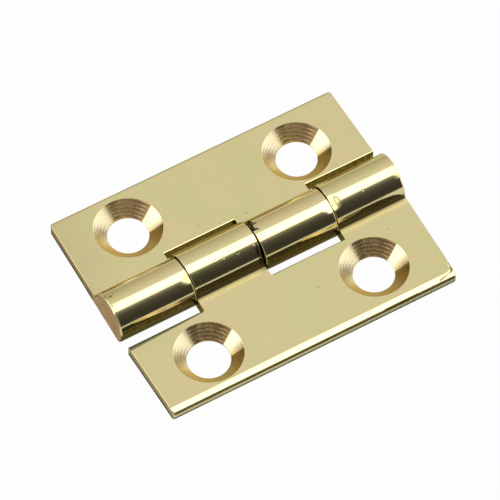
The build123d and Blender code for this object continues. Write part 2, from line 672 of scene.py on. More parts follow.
@dataclass(frozen=True)
class TurnedFinish(BrassFinish):
    """Countersinks, with the cutter's rings and the chatter that it left across them, coloured brown as
    painted shade.

    The tint goes round the hole as painted reflections of the lights, in steps given as pairs of an angle
    from +X to +Y, in degrees, and the tint there.
    """

    name: str = "turned_brass"
    # Painted reflection: the tint round the hole follows the lights that the cone would mirror.
    painted_reflection_sectors: tuple[tuple[float, Colour], ...] = (
        (-180, (1.0, 0.86, 0.44)), (-165, (0.80, 0.61, 0.24)), (-120, (0.62, 0.46, 0.18)),
        (-90, (0.50, 0.37, 0.15)), (-60, (0.43, 0.32, 0.14)), (-32, (0.20, 0.155, 0.07)),
        (-22, (0.19, 0.15, 0.065)), (-19, (0.64, 0.55, 0.39)), (0, (0.82, 0.76, 0.56)),
        (19, (0.72, 0.64, 0.45)), (22, (0.22, 0.145, 0.065)), (45, (0.56, 0.37, 0.185)),
        (75, (0.90, 0.66, 0.31)), (97, (0.94, 0.72, 0.36)), (100, (0.76, 0.65, 0.40)),
        (120, (0.78, 0.70, 0.47)), (145, (0.92, 0.84, 0.58)), (160, (1.0, 0.93, 0.64)),
        (180, (1.0, 0.86, 0.44)),
    )
    gloss: float = 0.26
    edge_tint: Colour = (0.80, 0.66, 0.40)
    rough_gloss: float = 0.28
    ring_pitch: float = 0.22
    ring_height: float = 0.0012
    deep_rings: float = 0.005
    ring_shade: float = 0.7
    unevenness: Grain = Grain(1.1)
    fine_rings: Grain = Grain(16.0, 2.0, 0.7)
    fine_height: float = 0.003
    streaks: Grain = Grain(7.0, 3.0, 0.7)
    streak_edges: tuple[float, float] = (0.36, 0.62)
    groove_shade_tint: Colour = (0.13, 0.085, 0.04)
    chatter_count: float = 84.0
    chatter_height: float = 0.003
    chatter_sector: tuple[float, float] = (20.0, 99.0)
    deepest_shade: float = 0.8

    def surface(self, nodes: ShaderNodes) -> tuple[Any, Any, Value]:
        """Colour, roughness and height of a turned wall.

        Args:
            nodes: The maker of the tree's nodes.

        Returns:
            The colour, the roughness and the height in millimetres.
        """
        at = nodes.value("ShaderNodeAttribute", "Vector", {"attribute_name": "hole_frame"})
        x, y, z = nodes.parts(at)
        turn = y.angle_to(x) * DEGREES
        start, stop = self.chatter_sector
        sector = turn.ease(start - 1.0, start + 1.0) * turn.ease(stop + 2.0, stop - 2.0)
        uneven = self.unevenness.at(nodes, at)
        rings = ((z + uneven * 0.2) * (FULL_TURN / self.ring_pitch)).sine()
        fine = self.fine_rings.at(nodes, nodes.vector(uneven, turn * 0.003, z))
        chatter = (turn * (self.chatter_count / DEGREES) + uneven * 3.0).sine()
        patch = sector * uneven.ease(0.35, 0.6)
        # Painted reflection: tints bright and dark round the hole.
        stops = [(place / 360 + 0.5, tint) for place, tint in self.painted_reflection_sectors]
        colour = nodes.value("ShaderNodeValToRGB", 0, {"stops": stops}, {0: turn / 360 + 0.5})
        streaks = self.streaks.at(nodes, nodes.vector(turn * 0.011, z, uneven)).ease(*self.streak_edges)
        # Painted shade: rings, streaks and chatter darken the chatter sector.
        groove_shade = sector * (rings * 0.3 + streaks * 0.5 + 0.2) * self.ring_shade
        groove_shade = (groove_shade + patch * (chatter * 0.5 + 0.5) * self.ring_shade).at_most(self.deepest_shade)
        colour = nodes.mix(groove_shade, colour, self.groove_shade_tint)
        height = rings * (sector * self.deep_rings + self.ring_height) + fine * self.fine_height
        height = height + chatter * patch * self.chatter_height
        return colour, sector * (self.rough_gloss - self.gloss) + self.gloss, height


@dataclass(frozen=True)
class BackFinish(BrassFinish):
    """The flat backs, brushed along the bar and left unpolished."""

    name: str = "brushed_brass"
    tint: Colour = (0.72, 0.60, 0.34)
    second_tint: Colour = (0.64, 0.52, 0.29)
    gloss: float = 0.3
    lines: Grain = Grain(2.0, 3.0, 0.6, (0.15, 8.0, 8.0))
    blotches: Grain = Grain(0.6)
    gloss_change: float = 0.12
    relief: float = 0.004

    def surface(self, nodes: ShaderNodes) -> tuple[Any, Any, Value]:
        """Colour, roughness and height of a back face.

        Args:
            nodes: The maker of the tree's nodes.

        Returns:
            The colour, the roughness and the height in millimetres.
        """
        place = nodes.place()
        lines = self.lines.at(nodes, place)
        blotch = self.blotches.at(nodes, place)
        colour = nodes.mix(lines * 0.6 + blotch * 0.5 - 0.1, self.tint, self.second_tint)
        return colour, self.gloss + (blotch - 0.5) * self.gloss_change, lines * self.relief


# Meshes


def new_object(name: str, points: Sequence[Sequence[float]],
               faces: Sequence[Sequence[int]]) -> bpy.types.Object:
    """Makes an object from points and faces, with its faces turned outwards.

    Args:
        name: The object's name.
        points: Its points in millimetres.
        faces: Its faces as numbers of points.

    Returns:
        The linked object.
    """
    mesh = bpy.data.meshes.new(name)
    mesh.from_pydata([tuple(p) for p in points], [], [tuple(f) for f in faces])
    shell = bmesh.new()
    shell.from_mesh(mesh)
    bmesh.ops.remove_doubles(shell, verts=shell.verts[:], dist=SHELL_WELD)
    bmesh.ops.recalc_face_normals(shell, faces=shell.faces[:])
    shell.to_mesh(mesh)
    shell.free()
    made = bpy.data.objects.new(name, mesh)
    bpy.context.scene.collection.objects.link(made)
    return made


def plain_mesh(source: bpy.types.Object, name: str) -> bpy.types.Object:
    """Turns an object with its modifiers into a new object that has a plain mesh.

    Args:
        source: The object with live modifiers.
        name: The new object's name.

    Returns:
        The new object; the source is removed.
    """
    graph = bpy.context.evaluated_depsgraph_get()
    mesh = bpy.data.meshes.new_from_object(source.evaluated_get(graph), depsgraph=graph)
    bpy.data.objects.remove(source)
    mesh.name = name
    made = bpy.data.objects.new(name, mesh)
    bpy.context.scene.collection.objects.link(made)
    return made


def tube_faces(rings: int, count: int) -> list[Sequence[int]]:
    """Faces between rings of points, with one more over each end.

    Args:
        rings: How many rings there are.
        count: How many points each ring has.

    Returns:
        The faces as numbers of points: the walls ring by ring, then the first end and the last.
    """
    faces: list[Sequence[int]] = []
    for ring in range(rings - 1):
        for k in range(count):
            a, b = ring * count + k, ring * count + (k + 1) % count
            faces.append((a, b, b + count, a + count))
    faces.append(tuple(range(count)))
    faces.append(tuple(range((rings - 1) * count, rings * count)))
    return faces


def half_chord(radius: float, away: float) -> float:
    """Half the chord of a circle at a distance from its centre, or 0 outside it."""
    return math.sqrt(max(radius**2 - away**2, 0.0))


def eased(value: float, low: float, high: float) -> float:
    """A smooth step from 0 at low to 1 at high."""
    share = min(1.0, max(0.0, (value - low) / (high - low)))
    return share * share * (3 - 2 * share)


@dataclass(frozen=True)
class EdgeForm:
    """How the top and bottom of one upright edge of a leaf are eased."""

    top_round: float = 0.04
    low_round: float = 0.05
    bevel_width: float = 0.0
    bevel_drop: float = 0.14
    lip_round: float = 0.12
    bevel_blend: float = 0.6

    def inset(self, z: float, top: float) -> float:
        """How far the edge stands in at a height.

        Args:
            z: The height.
            top: The height of the leaf's face.

        Returns:
            The distance inwards from the upright wall.
        """
        if z < self.low_round:
            return self.low_round - half_chord(self.low_round, self.low_round - z)
        rounded = 0.0
        if z > top - self.top_round:
            rounded = self.top_round - half_chord(self.top_round, z - top + self.top_round)
        if self.bevel_width <= 0.02:
            return rounded
        return max(rounded, self._bevel_inset(z, top))

    def _bevel_inset(self, z: float, top: float) -> float:
        """The inset of the shallow bevel with its round lip and its soft inner line.

        Args:
            z: The height.
            top: The height of the leaf's face.

        Returns:
            The distance inwards from the upright wall.
        """
        tilt = math.atan2(self.bevel_drop, self.bevel_width)
        lip_top = top - self.bevel_drop
        lip_end = self.lip_round * (1 - math.sin(tilt))
        centre = lip_top + lip_end * math.tan(tilt) - self.lip_round * math.cos(tilt)
        if z <= centre:
            return 0.0
        if z < centre + self.lip_round * math.cos(tilt):
            return self.lip_round - half_chord(self.lip_round, z - centre)
        blend = self.bevel_blend * math.tan(tilt / 2)
        blend_start = self.bevel_width - blend * math.cos(tilt)
        if z < lip_top + blend_start * math.tan(tilt):
            return (z - lip_top) / math.tan(tilt)
        return self.bevel_width + blend - half_chord(self.bevel_blend, z - top + self.bevel_blend)


@dataclass(frozen=True)
class HingeSizes:
    """The sizes that the whole hinge shares, in millimetres, as the solids have them."""

    thickness: float = 1.15
    axis_height: float = 1.21
    knuckle_radius: float = 2.05
    half_length: float = 12.70
    end_lean: float = 1.02
    end_skew: float = 0.47
    knuckle_spans: tuple[tuple[float, float], ...] = (
        (-12.70, -6.12), (-6.02, 0.07), (0.17, 6.53), (6.63, 12.70),
    )
    slot_walls: tuple[float, ...] = (3.11, 2.92, 2.91, 3.01)
    crease_radius: float = 0.06
    throat_radius: float = 1.64
    rim_radius: float = 2.73
    pin_radius: float = 0.80
    pin_spread_radius: float = 1.05
    pin_spread_depth: float = 0.30
    pin_gap: float = 0.03

    def end_x(self, side: Side, end: int, across: float) -> float:
        """Where a ground end stands.

        Args:
            side: The leaf.
            end: -1 for the left end or 1 for the right.
            across: Distance from the pin axis, towards the leaf.

        Returns:
            The X of the end face there.
        """
        slope = math.tan(math.radians(self.end_lean - end * side.value * self.end_skew))
        return end * (self.half_length - slope * max(across, -1.9))


@dataclass(frozen=True)
class PlanPoint:
    """A point of a leaf's outline in plan, with the walls that meet there.

    A rounded corner has several points, which differ in turn, their share of the way round it. Its
    rounding changes into the inner rounding over the given depth.
    """

    x: float
    across: float
    before: tuple[float, float]
    after: tuple[float, float]
    form_before: EdgeForm
    form_after: EdgeForm
    rounding: float = 0.0
    inner_rounding: float = 0.0
    turn: float = 0.0
    depth: float = 0.3

    def at(self, z: float, top: float) -> tuple[float, float]:
        """Where the outline's point lies at a height.

        Args:
            z: The height.
            top: The height of the leaf's face.

        Returns:
            X and the distance across.
        """
        inset_before = self.form_before.inset(z, top)
        inset_after = self.form_after.inset(z, top)
        (a, b), (c, d) = self.before, self.after
        det = a * d - b * c
        if abs(det) < 0.05:
            mean = (inset_before + inset_after) / 2
            return self.x - a * mean, self.across - b * mean
        x = self.x + (inset_after * b - inset_before * d) / det
        across = self.across + (inset_before * c - inset_after * a) / det
        if not self.rounding:
            return x, across
        share = min(1.0, max(inset_before, inset_after) / self.depth)
        radius = self.rounding * (1 - share) + self.inner_rounding * share
        start = math.atan2(b, a)
        turn = (math.atan2(d, c) - start + math.pi) % FULL_TURN - math.pi
        middle = start + turn / 2
        reach = radius / math.cos(turn / 2)
        way = start + turn * self.turn
        x += radius * math.cos(way) - reach * math.cos(middle)
        across += radius * math.sin(way) - reach * math.sin(middle)
        return x, across


@dataclass
class LeafPlate:
    """The flat of a leaf, from inside its own knuckles to its bevelled outer edge."""

    sizes: HingeSizes
    side: Side
    width: float
    own: tuple[int, int]
    outer: EdgeForm
    inner: float = 0.9
    corner_round: float = 0.22
    worn_corner: float = 0.0
    side_rounds: tuple[float, float] = (0.07, 0.10)
    corner_steps: int = 9
    corner_clear: float = 0.95
    edge_clear: float = 0.3
    step: float = 0.5
    side_start: tuple[float, float] = (2.7, 4.2)
    worn_reach: tuple[float, float] = (1.6, 0.6)
    worn_share: float = 0.4
    sharp_inner_round: float = 0.03

    def outline(self) -> list[PlanPoint]:
        """The outline in plan with the form of each wall.

        Returns:
            The points in order round the leaf.
        """
        corners = self._corners()
        points: list[PlanPoint] = []
        count = len(corners)
        for k, (x, across, rounding) in enumerate(corners):
            following = corners[(k + 1) % count]
            before = self._normal(corners[k - 1], corners[k])
            after = self._normal(corners[k], following)
            forms = self._form(x, across, before), self._form(x, across, after)
            inner = self.sharp_inner_round
            if rounding and x > 0 and self.worn_corner:
                inner = self.worn_corner
            for turn in np.linspace(0, 1, self.corner_steps if rounding else 1):
                points.append(PlanPoint(x, across, before, after, *forms, rounding, inner, float(turn)))
            points += self._along(corners[k], following, after)
        return points

    def _corners(self) -> list[tuple[float, float, float]]:
        """Corners of the outline, going clockwise from the left end.

        Returns:
            X, the distance across and the rounding in plan of each.
        """
        s = self.sizes
        start = s.slot_walls[0] if 0 not in self.own else self.inner
        finish = s.slot_walls[3] if 3 not in self.own else self.inner
        path = [(s.end_x(self.side, -1, start), start, 0.0),
                (s.end_x(self.side, -1, self.width), self.width, self.corner_round),
                (s.end_x(self.side, 1, self.width), self.width, self.corner_round),
                (s.end_x(self.side, 1, finish), finish, 0.0)]
        for number in (3, 2, 1, 0):
            if number in self.own:
                continue
            wall = s.slot_walls[number]
            if number < 3:
                edge = s.knuckle_spans[number + 1][0]
                path += [(edge, self.inner, 0.0), (edge, wall, 0.0)]
            if number > 0:
                edge = s.knuckle_spans[number - 1][1]
                path += [(edge, wall, 0.0), (edge, self.inner, 0.0)]
        return path

    @staticmethod
    def _normal(first: Sequence[float], second: Sequence[float]) -> tuple[float, float]:
        """The direction that a wall faces.

        Args:
            first: The corner where it starts, going clockwise.
            second: The corner where it ends.

        Returns:
            X and the distance across, one unit long and outwards.
        """
        dx, dy = second[0] - first[0], second[1] - first[1]
        length = math.hypot(dx, dy)
        return -dy / length, dx / length

    def _form(self, x: float, across: float, normal: tuple[float, float]) -> EdgeForm:
        """The form of a wall at a place.

        Args:
            x: The place along the pin.
            across: Its distance from the pin axis.
            normal: The direction that the wall faces.

        Returns:
            How the wall's edges are eased there.
        """
        if normal[1] > FACING:
            uneven = 1 + 0.05 * math.sin(0.33 * x + 1.9)
            return replace(self.outer, bevel_width=self.outer.bevel_width * uneven)
        if abs(normal[0]) > FACING and abs(x) > self.sizes.half_length - 1:
            share = eased(across, *self.side_start)
            worn = 0.0
            if self.worn_corner and x > 0:
                first, last = self.worn_reach
                rising = eased(across, self.width - first, self.width - last)
                worn = self.worn_share * self.outer.bevel_width * rising
            wide = self.side_rounds[0 if x < 0 else 1]
            return replace(self.outer, top_round=0.03 + (wide - 0.03) * share,
                           low_round=0.06 + 0.06 * share, bevel_width=worn)
        if normal[1] < -FACING and self.side is Side.BACK:
            return EdgeForm(top_round=0.02, bevel_width=0.06, bevel_drop=0.016, lip_round=0.01,
                            bevel_blend=0.06)
        if normal[1] < -FACING:
            return EdgeForm(top_round=0.06 + 0.10 * eased(-x, 5.0, 12.5), low_round=0.02)
        return EdgeForm()

    def _along(self, first: Sequence[float], second: Sequence[float],
               normal: tuple[float, float]) -> list[PlanPoint]:
        """Points between two corners, about a step apart and clear of the corners.

        Args:
            first: The corner where the wall starts.
            second: The corner where it ends.
            normal: The direction that the wall faces.

        Returns:
            The points in order; none for a short wall.
        """
        length = math.hypot(second[0] - first[0], second[1] - first[1])
        start = (self.corner_clear if first[2] else self.edge_clear) / length
        stop = 1 - (self.corner_clear if second[2] else self.edge_clear) / length
        if stop <= start:
            return []
        points = []
        for share in np.linspace(start, stop, max(2, int(length / self.step))):
            x = first[0] + (second[0] - first[0]) * float(share)
            across = first[1] + (second[1] - first[1]) * float(share)
            form = self._form(x, across, normal)
            points.append(PlanPoint(x, across, normal, normal, form, form))
        return points

    def _heights(self) -> list[float]:
        """Heights of the rings, close together where an edge turns.

        Returns:
            The heights from the back face up to the top.
        """
        top = self.sizes.thickness
        found = {0.0, top, 0.4, 0.6, 0.8, 0.9}
        found |= set(np.linspace(top - 0.35, top - 0.02, 24))
        for radius in (0.05, 0.12, 0.2):
            found |= {radius * (1 - math.sin(a)) for a in np.linspace(0, math.pi / 2, 8)}
        for radius in (0.04, 0.2, 0.42, 0.9):
            found |= {top - radius * (1 - math.sin(a)) for a in np.linspace(0, math.pi / 2, 12)
                      if radius * (1 - math.sin(a)) < 0.45}
        kept: list[float] = []
        for z in sorted(found):
            if not kept or z - kept[-1] > 0.0015:
                kept.append(z)
        kept[-1] = top
        return kept

    def shell(self, name: str) -> bpy.types.Object:
        """Builds the plate as rings from its back face up to its top face.

        Args:
            name: The object's name.

        Returns:
            A closed plate in millimetres.
        """
        outline = self.outline()
        heights = self._heights()
        top = self.sizes.thickness
        sign = self.side.value
        points = []
        for z in heights:
            for p in outline:
                x, across = p.at(z, top)
                points.append((x, sign * across, z))
        return new_object(name, points, tube_faces(len(heights), len(outline)))


@dataclass(frozen=True)
class Facet:
    """A flat worn on a knuckle at one of its ends, tapering off along it.

    Its direction is in degrees from straight up towards the front.
    """

    knuckle: int
    end: int
    direction: float
    depth: float
    length: float


@dataclass(frozen=True)
class KnuckleForm:
    """How one drawn knuckle departs from a plain round bar."""

    offset: float
    left_round: float = 0.07
    right_round: float = 0.07
    gouge: float = 0.0
    gouge_direction: float = 55.0


@dataclass
class Knuckle:
    """One knuckle with the crease that runs into its leaf."""

    sizes: HingeSizes
    side: Side
    number: int
    form: KnuckleForm
    facets: tuple[Facet, ...] = ()
    barrel_points: int = 120
    crease_points: int = 8
    rim_sections: int = 8
    middle_sections: int = 36

    def _radius(self, angle: float, inset: float, from_left: float, from_right: float) -> float:
        """The barrel's radius at one point of a section.

        Args:
            angle: From straight up, away from the knuckle's own leaf.
            inset: How far the rim has drawn in there.
            from_left: Distance from the knuckle's left end.
            from_right: Distance from its right end.

        Returns:
            The radius, with the worn facets.
        """
        front = angle * self.side.value
        radius = self.sizes.knuckle_radius - inset
        for facet in self.facets:
            if facet.knuckle != self.number:
                continue
            away = from_left if facet.end < 0 else from_right
            depth = facet.depth * (1 - eased(away, 0.55 * facet.length, facet.length))
            turn = front - math.radians(facet.direction)
            if abs(turn) < 1.0:
                radius = min(radius, (self.sizes.knuckle_radius - depth) / math.cos(turn))
        return radius

    def _section(self, inset: float, from_left: float, from_right: float) -> list[Point]:
        """The section, from the far lower edge over the top and into the leaf.

        Args:
            inset: How far the rim has drawn in there.
            from_left: Distance from the knuckle's left end.
            from_right: Distance from its right end.

        Returns:
            The distance across, the height and the angle of each point.
        """
        s = self.sizes
        radius = s.knuckle_radius - inset
        fall = math.pi - math.acos(s.axis_height / radius)
        lift = s.thickness + s.crease_radius - s.axis_height
        centre = math.sqrt((radius + s.crease_radius) ** 2 - lift**2)
        lean = math.atan2(lift, centre)
        shift = self.form.offset
        section = []
        for angle in np.linspace(fall, lean - math.pi / 2, self.barrel_points):
            r = self._radius(angle, inset, from_left, from_right)
            section.append((-shift - r * math.sin(angle), s.axis_height + r * math.cos(angle), angle))
        section[0] = (section[0][0], 0.0, fall)
        end = section[-1][2]
        for angle in np.linspace(math.pi + lean, 1.5 * math.pi, self.crease_points)[1:]:
            section.append((centre - shift + s.crease_radius * math.cos(angle),
                            s.thickness + s.crease_radius + s.crease_radius * math.sin(angle), end))
        section[-1] = (section[-1][0], s.thickness, end)
        section += [(centre - shift, 0.35, end), (1.3, 0.0, fall)]
        return section

    def _stations(self) -> list[tuple[float, float]]:
        """Where the sections stand.

        Returns:
            Distances along the knuckle with the inset of its round edge there.
        """
        low, high = self.sizes.knuckle_spans[self.number]
        length = high - low
        left, right = self.form.left_round, self.form.right_round
        middle = [(float(a), 0.0) for a in np.linspace(left, length - right, self.middle_sections)[1:-1]]
        near = [(left - half_chord(left, left - inset), inset)
                for inset in left * (1 - np.sin(np.linspace(0, math.pi / 2, self.rim_sections)))]
        far = [(length - right + half_chord(right, right - inset), inset)
               for inset in right * (1 - np.sin(np.linspace(math.pi / 2, 0, self.rim_sections)))]
        return near + middle + far

    def shell(self, name: str) -> bpy.types.Object:
        """Builds the knuckle as sections along the pin.

        Args:
            name: The object's name.

        Returns:
            A closed knuckle in millimetres.
        """
        s = self.sizes
        low, high = s.knuckle_spans[self.number]
        length = high - low
        sign = self.side.value
        points = []
        stations = self._stations()
        for along, inset in stations:
            for across, z, angle in self._section(inset, along, length - along):
                x = low + along
                share = along / length
                if self.number == 0:
                    x += (s.end_x(self.side, -1, across) - low) * (1 - share)
                if self.number == 3:
                    x += (s.end_x(self.side, 1, across) - high) * share
                if self.form.gouge:
                    turn = (math.degrees(angle) * sign - self.form.gouge_direction) / 20
                    x -= self.form.gouge * math.exp(-turn * turn) * eased(along, length - 1.6, length)
                points.append((x, sign * across, z))
        return new_object(name, points, tube_faces(len(stations), len(points) // len(stations)))


class GeometryTree(Nodes):
    """A geometry tree with named inputs, made for one job."""

    def __init__(self, name: str, sockets: Sequence[tuple[str, str]]) -> None:
        """Starts the tree.

        Args:
            name: The tree's name.
            sockets: Names and types of its inputs after the geometry.
        """
        super().__init__(bpy.data.node_groups.new(name, "GeometryNodeTree"))
        face = self.tree.interface
        face.new_socket("Geometry", in_out="INPUT", socket_type="NodeSocketGeometry")
        self.identifiers = {n: face.new_socket(n, in_out="INPUT", socket_type=kind).identifier
                            for n, kind in sockets}
        face.new_socket("Geometry", in_out="OUTPUT", socket_type="NodeSocketGeometry")
        self.start = self.add("NodeGroupInput")

    def given(self, name: str) -> Value:
        """One of the tree's inputs."""
        return Value(self, next(s for s in self.start.outputs if s.name == name))

    def close(self, geometry: Any) -> None:
        """Ends the tree in Realize Instances and Set Material.

        Args:
            geometry: The finished geometry's socket.
        """
        whole = self.value("GeometryNodeRealizeInstances", 0, None, {0: geometry})
        dressed = self.value("GeometryNodeSetMaterial", 0, None,
                             {"Geometry": whole, "Material": self.given("Material")})
        self.add("NodeGroupOutput", None, {0: dressed})

    def run(self, source: bpy.types.Object, values: dict[str, Any], name: str) -> bpy.types.Object:
        """Runs the tree on an object and keeps the result as a plain mesh.

        Args:
            source: The object that the tree works on, which is used up.
            values: The inputs by name.
            name: The new object's name.

        Returns:
            The new object.
        """
        modifier = source.modifiers.new(name, "NODES")
        modifier.node_group = self.tree
        for key, value in values.items():
            modifier[self.identifiers[key]] = value
        return plain_mesh(source, name)


class LeafTree(GeometryTree):
    """Joins a plate with its knuckles, then bores it for the pin and the screws."""

    def __init__(self) -> None:
        """Builds the tree."""
        super().__init__("bored_leaf", [
            ("First knuckle", "NodeSocketObject"), ("Second knuckle", "NodeSocketObject"),
            ("Pin bore", "NodeSocketObject"), ("Left hole", "NodeSocketVector"),
            ("Right hole", "NodeSocketVector"), ("Throat radius", "NodeSocketFloat"),
            ("Left throat", "NodeSocketVector"), ("Right throat", "NodeSocketVector"),
            ("Rim radius", "NodeSocketFloat"), ("Thickness", "NodeSocketFloat"),
            ("Material", "NodeSocketMaterial"),
        ])
        knuckles = [self._object(n) for n in ("First knuckle", "Second knuckle")]
        whole = self._cut("UNION", None, [self.given("Geometry"), *knuckles])
        whole = self._cut("DIFFERENCE", whole, [self._object("Pin bore")])
        whole = self._cut("DIFFERENCE", whole, self._screw_cutters())
        self.close(self._hole_frame(whole))

    def _object(self, name: str) -> Value:
        """The mesh of an object that is given by name."""
        return self.value("GeometryNodeObjectInfo", "Geometry", {"transform_space": "ORIGINAL"},
                          {"Object": self.given(name)})

    def _cut(self, operation: str, first: Value | None, others: list[Value]) -> Value:
        """Joins meshes, or cuts them out of another.

        Args:
            operation: UNION or DIFFERENCE.
            first: What is cut, or None for a union.
            others: What is joined or cut out.

        Returns:
            The closed mesh.
        """
        inputs: dict[Any, Any] = {"Mesh 2" if first is not None else "Mesh": others}
        if first is not None:
            inputs["Mesh 1"] = first
        settings = {"operation": operation, "solver": "MANIFOLD"}
        return self.value("GeometryNodeMeshBoolean", 0, settings, inputs)

    def _screw_cutters(self) -> list[Value]:
        """The throat's and the cone's cutters, one of each at both holes.

        Returns:
            The throats' mesh and the cones' mesh.
        """
        places = self.value("GeometryNodeMeshLine", 0, {"mode": "END_POINTS", "count_mode": "TOTAL"},
                            {"Count": 2, "Start Location": self.given("Left hole"),
                             "Offset": self.given("Right hole")})
        throat = self.given("Throat radius")
        rim = self.given("Rim radius")
        thick = self.given("Thickness")
        tube = self.value("GeometryNodeMeshCylinder", "Mesh", {"fill_type": "NGON"},
                          {"Vertices": HOLE_SIDES, "Radius": throat, "Depth": 6.0})
        over = 0.8
        under = 0.3
        height = rim - throat + (over + under)
        cone = self.value("GeometryNodeMeshCone", "Mesh", {"fill_type": "NGON"},
                          {"Vertices": HOLE_SIDES, "Side Segments": 1, "Radius Top": rim + over,
                           "Radius Bottom": throat - under, "Depth": height})
        lift = self.vector(0.0, 0.0, thick + throat - rim - under)
        cone = self.value("GeometryNodeTransform", 0, None, {"Geometry": cone, "Translation": lift})
        number = self.value("GeometryNodeInputIndex")
        right = self.value("FunctionNodeCompare", 0, {"data_type": "INT", "operation": "GREATER_THAN"},
                           {"A": number, "B": 0})
        size = self.value("GeometryNodeSwitch", 0, {"input_type": "VECTOR"},
                          {"Switch": right, "False": self.given("Left throat"),
                           "True": self.given("Right throat")})
        cutters = []
        for shape, scale in ((tube, size), (cone, (1.0, 1.0, 1.0))):
            copies = self.value("GeometryNodeInstanceOnPoints", 0, None,
                                {"Points": places, "Instance": shape, "Scale": scale})
            cutters.append(self.value("GeometryNodeRealizeInstances", 0, None, {0: copies}))
        return cutters

    def _hole_frame(self, geometry: Value) -> Value:
        """Keeps each point's place from the centre of the nearer hole, for the turned finish.

        Args:
            geometry: The bored leaf.

        Returns:
            The leaf with the places as its attribute hole_frame.
        """
        here = self.value("GeometryNodeInputPosition")
        ways = [self.vectors("SUBTRACT", here, self.given(n)) for n in ("Left hole", "Right hole")]
        lengths = [self.vectors("LENGTH", way, output="Value") for way in ways]
        nearer = self.value("FunctionNodeCompare", 0, {"data_type": "FLOAT", "operation": "LESS_THAN"},
                            {0: lengths[0], 1: lengths[1]})
        way = self.value("GeometryNodeSwitch", 0, {"input_type": "VECTOR"},
                         {"Switch": nearer, "False": ways[1], "True": ways[0]})
        return self.value("GeometryNodeStoreNamedAttribute", 0,
                          {"data_type": "FLOAT_VECTOR", "domain": "POINT"},
                          {"Geometry": geometry, "Name": "hole_frame", "Value": way})


class PinTree(GeometryTree):
    """A round wire along X that spreads at both ends and is ground off at a slant."""

    def __init__(self) -> None:
        """Builds the tree."""
        super().__init__("spread_pin", [
            ("Half length", "NodeSocketFloat"), ("Radius", "NodeSocketFloat"),
            ("Spread radius", "NodeSocketFloat"), ("Spread depth", "NodeSocketFloat"),
            ("Slant", "NodeSocketFloat"), ("Material", "NodeSocketMaterial"),
        ])
        half = self.given("Half length")
        spine = self.value("GeometryNodeMeshLine", 0, {"mode": "END_POINTS", "count_mode": "TOTAL"},
                           {"Count": 2, "Start Location": self.vector(half * -1),
                            "Offset": self.vector(half)})
        spine = self.value("GeometryNodeMeshToCurve", 0, None, {"Mesh": spine})
        spine = self.value("GeometryNodeResampleCurve", 0, {"mode": "COUNT"}, {"Curve": spine, "Count": 255})
        ring = self.value("GeometryNodeCurvePrimitiveCircle", "Curve", {"mode": "RADIUS"},
                          {"Resolution": 96, "Radius": 1.0})
        tube = self.value("GeometryNodeCurveToMesh", 0, None,
                          {"Curve": spine, "Profile Curve": ring, "Fill Caps": True})
        x, y, z = self.parts(self.value("GeometryNodeInputPosition"))
        depth, wide_end = self.given("Spread depth"), self.given("Spread radius")
        near_end = ((x.size() - half) / depth + 1).at_least(0.0)
        ground = x + y * near_end * wide_end * self.given("Slant")
        spread = ((ground.size() - half) / depth + 1).at_least(0.0)
        wide = self.given("Radius") + (wide_end - self.given("Radius")) * spread
        place = self.vector(ground, y * wide, z * wide)
        self.close(self.value("GeometryNodeSetPosition", 0, None, {"Geometry": tube, "Position": place}))


# Sub-assemblies


@dataclass
class HingePin:
    """The wire that the knuckles turn on."""

    sizes: HingeSizes
    tree: PinTree
    finish: GroundFinish

    def wire(self, name: str, gap: float, over: float,
             material: bpy.types.Material | None) -> bpy.types.Object:
        """Runs the pin's tree.

        Args:
            name: The object's name.
            gap: How much wider it is made all round, for the bore.
            over: How far it runs past the ground ends, for the bore.
            material: What it is dressed in; a bore has none.

        Returns:
            The pin or its bore, on its axis, in millimetres.
        """
        s = self.sizes
        slope = (s.pin_spread_radius - s.pin_radius) / s.pin_spread_depth
        seed = new_object(name + "_seed", [(0, 0, 0)], [])
        values = {
            "Half length": s.half_length + over, "Radius": s.pin_radius + gap,
            "Spread radius": s.pin_spread_radius + gap + slope * over,
            "Spread depth": s.pin_spread_depth + over,
            "Slant": math.tan(math.radians(s.end_lean + s.end_skew)),
        }
        if material is not None:
            values["Material"] = material
        made = self.tree.run(seed, values, name)
        made.data.transform(Matrix.Translation((0, 0, s.axis_height)))
        return made

    def build(self) -> bpy.types.Object:
        """Builds, dresses and seats the pin.

        Returns:
            The finished piece.
        """
        made = self.wire("pin_wire", 0.0, 0.0, self.finish.material())
        finish_piece(made, sharp_angle=0.6)
        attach(made, "back_leaf")
        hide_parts("hinge_pin")
        return made


def finish_piece(made: bpy.types.Object, sharp_angle: float) -> None:
    """Brings a mesh to metres, smooths it between its sharp edges and weights its normals by area.

    Args:
        made: The object, whose mesh is in millimetres.
        sharp_angle: The angle in radians past which an edge stays sharp.
    """
    mesh = made.data
    shell = bmesh.new()
    shell.from_mesh(mesh)
    bmesh.ops.remove_doubles(shell, verts=shell.verts[:], dist=PIECE_WELD)
    bmesh.ops.dissolve_degenerate(shell, edges=shell.edges[:], dist=PIECE_WELD)
    for face in shell.faces:
        face.smooth = True
    for edge in shell.edges:
        edge.smooth = len(edge.link_faces) == 2 and edge.calc_face_angle(0.0) < sharp_angle
    shell.transform(Matrix.Scale(MM, 4))
    shell.to_mesh(mesh)
    open_edges = sum(1 for e in shell.edges if len(e.link_faces) != 2)
    log.info("%s: %d faces, %d open edges", made.name, len(shell.faces), open_edges)
    shell.free()
    weighted = made.modifiers.new("weighted", "WEIGHTED_NORMAL")
    weighted.keep_sharp = True
    weighted.weight = 60
    graph = bpy.context.evaluated_depsgraph_get()
    smooth = bpy.data.meshes.new_from_object(made.evaluated_get(graph), depsgraph=graph)
    made.modifiers.remove(weighted)
    old = made.data
    made.data = smooth
    bpy.data.meshes.remove(old)
    smooth.name = made.name


